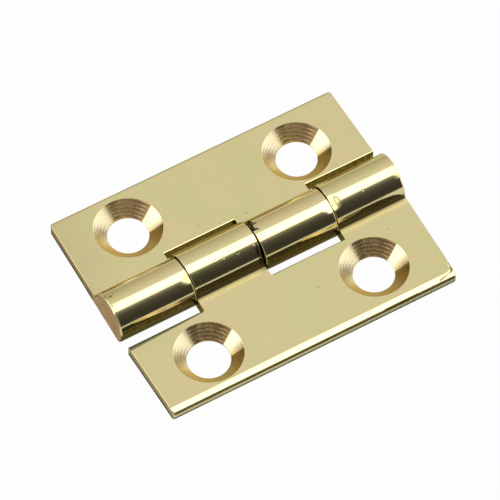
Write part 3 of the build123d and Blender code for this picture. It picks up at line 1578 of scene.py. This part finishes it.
@dataclass
class HingeLeaf:
    """A whole leaf: its plate, its two knuckles, its bores and its finishes."""

    sizes: HingeSizes
    side: Side
    width: float
    own: tuple[int, int]
    holes: tuple[tuple[float, float], tuple[float, float]]
    finishes: tuple[BrassFinish, ...]
    forms: tuple[KnuckleForm, KnuckleForm]
    outer: EdgeForm
    facets: tuple[Facet, ...] = ()
    worn_corner: float = 0.0
    throats: tuple[Point, Point] = ((1.0, 1.0, 1.0), (1.0, 1.0, 1.0))

    @property
    def node(self) -> str:
        """The name of the solid and body that this leaf stands for."""
        return f"{self.side.name.lower()}_leaf"

    def build(self, tree: LeafTree, pin: HingePin) -> bpy.types.Object:
        """Builds, dresses and seats the leaf.

        Args:
            tree: The tree that joins and bores leaves.
            pin: The pin, for the bore.

        Returns:
            The finished piece.
        """
        s = self.sizes
        flat = LeafPlate(s, self.side, self.width, self.own, self.outer, worn_corner=self.worn_corner)
        plate = flat.shell(self.node + "_plate")
        knuckles = [Knuckle(s, self.side, number, form, self.facets).shell(f"knuckle_{number}")
                    for number, form in zip(self.own, self.forms)]
        bore = pin.wire("pin_bore", s.pin_gap, 0.4, None)
        materials = [f.material() for f in self.finishes]
        left, right = [(x, self.side.value * across, 0.0) for x, across in self.holes]
        values = {
            "First knuckle": knuckles[0], "Second knuckle": knuckles[1], "Pin bore": bore,
            "Left hole": left, "Right hole": right,
            "Throat radius": s.throat_radius, "Rim radius": s.rim_radius, "Thickness": s.thickness,
            "Left throat": self.throats[0], "Right throat": self.throats[1],
            "Material": materials[0],
        }
        made = tree.run(plate, values, self.node + "_body")
        for helper in (*knuckles, bore):
            bpy.data.objects.remove(helper)
        self._dress(made, materials)
        finish_piece(made, sharp_angle=0.55)
        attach(made, self.node)
        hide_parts(self.node)
        return made

    def _dress(self, made: bpy.types.Object, materials: Sequence[bpy.types.Material]) -> None:
        """Gives each face the finish of its place.

        Args:
            made: The leaf, in millimetres.
            materials: One material for each Finish, in order.
        """
        made.data.materials.clear()
        for material in materials:
            made.data.materials.append(material)
        for face in made.data.polygons:
            face.material_index = self._finish_of(face.center, face.normal).value

    def _finish_of(self, centre: Vector, normal: Vector) -> Finish:
        """The finish of a face by its place and direction.

        Args:
            centre: The middle of the face, in millimetres.
            normal: The direction that it faces.

        Returns:
            The finish.
        """
        s = self.sizes
        across = centre.y * self.side.value
        out = normal.y * self.side.value
        for x, y in self.holes:
            if math.hypot(centre.x - x, across - y) < s.rim_radius + 0.01 and abs(normal.z) < 0.98:
                return Finish.TURNED
        if normal.z < -0.9:
            return Finish.BACK_FACE
        on_plate = across > s.knuckle_radius + 0.35
        at_end = abs(centre.x) > s.half_length - 0.45
        upright = abs(normal.z) < 0.35
        if abs(normal.x) > 0.9 and at_end:
            return Finish.TRIMMED if across > 2.6 else Finish.GROUND
        if abs(normal.x) > 0.85 and not on_plate:
            return Finish.CROPPED
        under_edge = across > self.width - 0.3 and centre.z < 0.3
        outer_wall = upright and out > 0.8 and across > self.width - 0.15
        if under_edge or outer_wall:
            return Finish.SAWN
        if upright and on_plate and (abs(normal.x) > 0.8 or out < -0.8):
            return Finish.CROPPED
        return Finish.POLISHED


# The studio


@dataclass(frozen=True)
class Softbox:
    """A bright box in the wall of the tent. Angles are in degrees, and azimuth turns from +X to +Y."""

    azimuth: tuple[float, float]
    top: float
    brightness: float
    softness: float = 2.0


@dataclass
class LightTent:
    """A white tent with a light over the hinge, a black flag in front and two boxes at the sides.

    The roll of the tent is a list of brightness over the angle from straight up, towards the front.
    The light over the hinge has a duller opening in its middle, and there is a gap in the left wall.
    """

    radius: float = 0.6
    peak: float = 2.5
    roll: tuple[tuple[float, float], ...] = (
        (-90, 0.52), (-78, 0.53), (-65, 0.60), (-49, 0.665), (-33, 0.76), (-25, 0.80), (-17.5, 0.86),
        (-13.5, 2.4), (17, 2.4), (21, 0.60), (26, 0.22), (39, 0.085), (55, 0.055), (70, 0.042), (90, 0.042),
    )
    left_box: Softbox = Softbox((129.0, 178.0), 36.0, 1.75)
    right_box: Softbox = Softbox((-52.0, 22.0), 34.0, 1.45, 6.0)
    flag: tuple[float, float] = (0.12, 0.42)
    front_light: float = 0.32
    opening: tuple[float, float] = (0.09, 0.15)
    opening_light: float = 0.86
    gap_tint: Colour = (0.09, 0.085, 0.075)
    lowest: float = -8.0
    rings: int = 24
    turns: int = 72

    def build(self) -> None:
        """Makes the tent, which the camera doesn't see."""
        points: list[Point] = []
        faces: list[Sequence[int]] = []
        rings, turns = self.rings, self.turns
        for ring in range(rings):
            low = math.radians(self.lowest + (90 - self.lowest) * ring / rings)
            for k in range(turns):
                way = FULL_TURN * k / turns
                points.append((math.cos(low) * math.cos(way), math.cos(low) * math.sin(way), math.sin(low)))
        points.append((0.0, 0.0, 1.0))
        for ring in range(rings):
            for k in range(turns):
                a, b = ring * turns + k, ring * turns + (k + 1) % turns
                if ring < rings - 1:
                    faces.append((a, b, b + turns, a + turns))
                else:
                    faces.append((a, b, len(points) - 1))
        made = new_object("light_tent", points, faces)
        made.data.transform(Matrix.Scale(self.radius, 4))
        material, nodes = new_material("tent_light")
        glow = nodes.add("ShaderNodeEmission", None, {"Color": self._colour(nodes), "Strength": self.peak})
        nodes.add("ShaderNodeOutputMaterial", None, {"Surface": glow.outputs[0]})
        made.data.materials.append(material)
        made.visible_camera = False
        made.visible_shadow = False

    def _colour(self, nodes: ShaderNodes) -> Value:
        """The tent's light over its peak, by direction.

        Args:
            nodes: The maker of the tree's nodes.

        Returns:
            The light's colour.
        """
        x, y, z = nodes.parts(nodes.vectors("NORMALIZE", nodes.place()))
        roll = (y * -1).angle_to(z) * DEGREES
        turn = y.angle_to(x) * DEGREES
        lift = z.arcsine() * DEGREES
        stops = []
        for place, light in self.roll:
            warm = eased(place, -30.0, -80.0)
            level = light / self.peak
            stops.append((place / 180 + 0.5, (level, level * (1 - 0.05 * warm), level * (1 - 0.15 * warm))))
        tent = nodes.value("ShaderNodeValToRGB", 0, {"stops": stops}, {0: roll / 180 + 0.5})
        middle = x.size().ease(self.opening[1], self.opening[0]) * roll.between(-19.0, 20.0, 2.0)
        level = self.opening_light / self.peak
        tent = nodes.mix(middle, tent, (level, level, level))
        first, last = self.flag
        flagged = x.ease(first - 0.05, first + 0.02) * x.ease(last + 0.05, last - 0.02)
        front = roll.ease(19.0, 25.0) * (1 - flagged)
        level = self.front_light / self.peak
        tent = nodes.mix(front, tent, (level, level * 0.97, level * 0.9))
        gap = turn.ease(94.0, 102.0) * turn.ease(131.0, 127.0) * lift.ease(44.0, 34.0)
        tent = nodes.mix(gap, tent, self.gap_tint)
        for box in (self.left_box, self.right_box):
            inside = turn.between(*box.azimuth, box.softness) * lift.ease(box.top + 4, box.top - 4)
            level = box.brightness / self.peak
            tent = nodes.mix(inside, tent, (level, level * 0.98, level * 0.92))
        return tent


@dataclass
class Studio:
    """Floor, light tent and camera."""

    tent: LightTent = field(default_factory=LightTent)
    floor_tint: Colour = (0.52, 0.50, 0.45)
    floor_white: float = 0.97
    floor_gleam: float = 0.5
    floor_reach: float = 3000.0
    floor_level: float = -0.01
    position: Point = (-0.12587243, -0.21606546, 0.38723172)
    right: Point = (0.86567383, -0.50060546, 0.00173286)
    up: Point = (0.41947195, 0.72725398, 0.54327243)
    lens: float = 430.0884

    def build(self) -> None:
        """Makes everything round the object."""
        self._camera()
        self._world()
        self._floor()
        self.tent.build()

    def _camera(self) -> None:
        """Sets the camera at the fitted viewpoint."""
        data = bpy.data.cameras.new("camera")
        data.sensor_width = 36.0
        data.lens = self.lens
        data.clip_start = 0.01
        data.clip_end = 10.0
        made = bpy.data.objects.new("camera", data)
        right, up = Vector(self.right), Vector(self.up)
        back = right.cross(up)
        turn = Matrix((right, up, back)).transposed().to_4x4()
        made.matrix_world = Matrix.Translation(self.position) @ turn
        bpy.context.scene.collection.objects.link(made)
        bpy.context.scene.camera = made

    def _world(self) -> None:
        """A white background, with a plain soft light for everything else."""
        world = bpy.data.worlds.new("studio")
        world.use_nodes = True
        world.node_tree.nodes.clear()
        nodes = ShaderNodes(world.node_tree)
        rays = nodes.add("ShaderNodeLightPath")
        shown = Value(nodes, rays.outputs["Is Camera Ray"]) + Value(nodes, rays.outputs["Is Glossy Ray"])
        shown = (shown + Value(nodes, rays.outputs["Is Transmission Ray"])).at_most(1.0)
        soft = nodes.add("ShaderNodeBackground", None, {"Color": (0.8, 0.8, 0.8, 1), "Strength": 0.6})
        white = nodes.add("ShaderNodeBackground", None, {"Color": (1, 1, 1, 1), "Strength": 1.0})
        both = nodes.add("ShaderNodeMixShader", None, {0: shown, 1: soft.outputs[0], 2: white.outputs[0]})
        nodes.add("ShaderNodeOutputWorld", None, {"Surface": both.outputs[0]})
        bpy.context.scene.world = world

    def _floor(self) -> None:
        """A pale floor that keeps a soft shadow."""
        reach = self.floor_reach
        corners = [(x * reach, y * reach, self.floor_level) for x, y in ((-1, -1), (1, -1), (1, 1), (-1, 1))]
        made = new_object("floor", corners, [(0, 1, 2, 3)])
        made.data.transform(Matrix.Scale(MM, 4))
        material, nodes = new_material("pale_floor")
        rays = nodes.add("ShaderNodeLightPath")
        shown = Value(nodes, rays.outputs["Is Camera Ray"])
        shown = shown + Value(nodes, rays.outputs["Is Transmission Ray"])
        shown = shown * self.floor_white + Value(nodes, rays.outputs["Is Glossy Ray"]) * self.floor_gleam
        paint = nodes.add("ShaderNodeBsdfDiffuse", None, {"Color": (*self.floor_tint, 1.0)})
        glow = nodes.add("ShaderNodeEmission", None, {"Color": (1, 1, 1, 1), "Strength": 1.0})
        both = nodes.add("ShaderNodeMixShader", None, {0: shown, 1: paint.outputs[0], 2: glow.outputs[0]})
        nodes.add("ShaderNodeOutputMaterial", None, {"Surface": both.outputs[0]})
        made.data.materials.append(material)


# The two leaves, with their finishes and their wear


def edge_finishes() -> tuple[BrassFinish, ...]:
    """The finishes from SAWN to TRIMMED, which both leaves share."""
    # The trimmed ends keep only the lower line of painted shade.
    trimmed = SawnFinish("trimmed_brass", (0.98, 0.84, 0.56), (0.84, 0.70, 0.42), upper_line=2.0,
                         lower_line=0.36)
    return SawnFinish(), ShadedSlotFinish(), BackFinish(), trimmed


def worn_facets() -> tuple[Facet, ...]:
    """The flats worn on the knuckles' ends: knuckle, end, direction, depth and length of each."""
    return (Facet(0, 1, 24.0, 0.08, 0.75), Facet(2, 1, 22.0, 0.07, 0.7), Facet(3, -1, 24.0, 0.10, 0.8),
            Facet(3, 1, 24.0, 0.06, 0.5))


def back_leaf(sizes: HingeSizes) -> HingeLeaf:
    """The back leaf, with the black scrawl on its third knuckle, a few dents and stains, and a line of
    painted shade.

    Args:
        sizes: The sizes that the whole hinge shares.

    Returns:
        The leaf, not built yet.
    """
    marks = (
        Mark((-12.2, 0.45, 3.21), 0.20, 0.004, 0.35), Mark((-11.95, 0.55, 3.19), 0.14, 0.003, 0.3),
        Mark((-12.56, -0.45, 3.21), 0.12, 0.01, 0.5), Mark((-12.43, -1.38, 2.72), 0.10, 0.02, 0.0),
        Mark((1.21, 2.98, 1.15), 0.16, 0.0, 0.25),
        Mark((-2.49, 3.83, 1.15), 0.14, 0.0, 0.2), Mark((9.5, 3.4, 1.15), 0.2, 0.0, 0.12),
    )
    scribble_and_shade_line = (
        Stroke((0.45, 1.42, 2.70), (0.26, 0.16, 3.26), 0.20, 1.0, 0.004),
        Stroke((0.21, 1.17, 2.92), (0.30, 0.85, 3.09), 0.16, 1.0, 0.004),
        Stroke((0.45, 1.30, 2.80), (0.56, 0.92, 3.05), 0.13, 1.0, 0.004),
        Stroke((0.33, 0.70, 3.15), (0.74, 0.74, 3.13), 0.12, 1.0, 0.004),
        Stroke((0.27, 0.18, 3.26), (0.58, 0.10, 3.26), 0.12, 1.0, 0.004),
        # A line of painted shade along the outer bevel.
        Stroke((-12.3, 9.56, 1.08), (12.3, 9.56, 1.08), 0.11, 0.6, 0.0, (0.50, 0.46, 0.10)),
        Stroke((-12.42, 0.42, 3.22), (-12.12, 0.36, 3.22), 0.08, 0.7, 0.004),
    )
    creases = (Crease(-12.7, -6.12, 2.02, 0.5, (0.20, 0.16)), Crease(0.17, 6.53, 1.99, 0.6, (0.32, 0.32)))
    finishes = (
        PolishedFinish(marks=marks, strokes=scribble_and_shade_line, creases=creases), GroundFinish(),
        TurnedFinish(chatter_height=0.001, deep_rings=0.004, ring_shade=0.42), *edge_finishes(),
    )
    outer = EdgeForm(top_round=0.02, low_round=0.15, bevel_width=0.14, bevel_drop=0.06, lip_round=0.05,
                     bevel_blend=0.3)
    return HingeLeaf(sizes, Side.BACK, width=9.62, own=(0, 2), holes=((-7.36, 6.34), (7.50, 5.98)),
                     finishes=finishes, forms=(KnuckleForm(0.13, left_round=0.17), KnuckleForm(0.06)),
                     outer=outer, facets=worn_facets())


def front_leaf(sizes: HingeSizes) -> HingeLeaf:
    """The front leaf, with its dented knuckles, its ground chip, its worn right corner and lines of painted
    shade.

    Args:
        sizes: The sizes that the whole hinge shares.

    Returns:
        The leaf, not built yet.
    """
    marks = (
        Mark((-1.77, -0.95, 3.02), 0.16, 0.012, 0.0), Mark((-3.58, -0.72, 3.13), 0.10, 0.010, 0.0),
        Mark((-2.94, -0.84, 3.08), 0.10, 0.012, 0.0), Mark((-5.45, -1.50, 2.61), 0.14, 0.010, 0.0),
        Mark((-0.15, -1.90, 2.12), 0.09, 0.04, 0.0),
        Mark((9.45, -0.80, 3.10), 0.12, 0.010, 0.0), Mark((9.57, -1.84, 2.12), 0.07, 0.02, 0.0),
        Mark((9.96, -3.78, 1.15), 0.12, 0.0, 0.3), Mark((2.60, -5.66, 1.15), 0.16, 0.0, 0.25),
        Mark((4.96, -9.58, 1.12), 0.16, 0.03, 0.0),
    )
    olive = (0.10, 0.095, 0.015)
    worn = (
        Stroke((-0.17, -1.20, 2.92), (-0.13, -2.03, 1.55), 0.30, 0.88, 0.0, (0.13, 0.13, 0.08)),
        Stroke((-0.34, -0.86, 3.08), (-0.20, -1.20, 2.90), 0.07, 0.0, 0.03),
        # Lines of painted shade round the worn right corner.
        Stroke((12.45, -8.75, 1.12), (12.42, -9.20, 1.08), 0.12, 0.9, 0.0, olive),
        Stroke((12.42, -9.20, 1.08), (12.18, -9.52, 1.05), 0.12, 0.9, 0.0, olive),
        Stroke((12.18, -9.52, 1.05), (11.10, -9.76, 1.03), 0.12, 0.9, 0.0, olive),
        # A dark line of painted shade along the lip of the front edge.
        Stroke((6.10, -9.90, 0.98), (9.00, -9.90, 0.98), 0.09, 0.9, 0.0, (0.16, 0.15, 0.02)),
    )
    creases = (
        Crease(-6.02, 0.07, -1.95), Crease(6.63, 12.7, -1.91),
        Crease(-12.7, -6.12, -3.11, 0.05, (0.38, 0.13)), Crease(0.17, 6.53, -2.91, 0.05, (0.08, 0.06)),
    )
    polished = PolishedFinish("worn_polished_brass", marks=marks, strokes=worn, creases=creases, flank=1.0)
    outer = EdgeForm(top_round=0.02, low_round=0.25, bevel_width=0.46, bevel_drop=0.17, lip_round=0.12,
                     bevel_blend=0.5)
    return HingeLeaf(sizes, Side.FRONT, width=9.96, own=(1, 3), holes=((-7.585, 6.58), (7.275, 6.22)),
                     finishes=(polished, GroundFinish(), TurnedFinish("chattered_brass"), *edge_finishes()),
                     forms=(KnuckleForm(0.10, gouge=0.16), KnuckleForm(0.14, right_round=0.12)),
                     outer=outer, facets=worn_facets(), worn_corner=0.5,
                     throats=((1.045, 1.045, 1.0), (1.0, 1.0, 1.0)))


def main() -> None:
    """Builds the hinge piece by piece and the studio round it."""
    logging.basicConfig(level=logging.INFO, format="%(name)s: %(message)s")
    bpy.context.scene.view_settings.view_transform = "Standard"
    sizes = HingeSizes()
    pin = HingePin(sizes, PinTree(), GroundFinish(name="pin_brass"))
    tree = LeafTree()
    for leaf in (back_leaf(sizes), front_leaf(sizes)):
        made = leaf.build(tree, pin)
        log.info("%s built, %d faces", made.name, len(made.data.polygons))
    made = pin.build()
    log.info("%s built, %d faces", made.name, len(made.data.polygons))
    Studio().build()


if __name__ == "__main__":
    main()
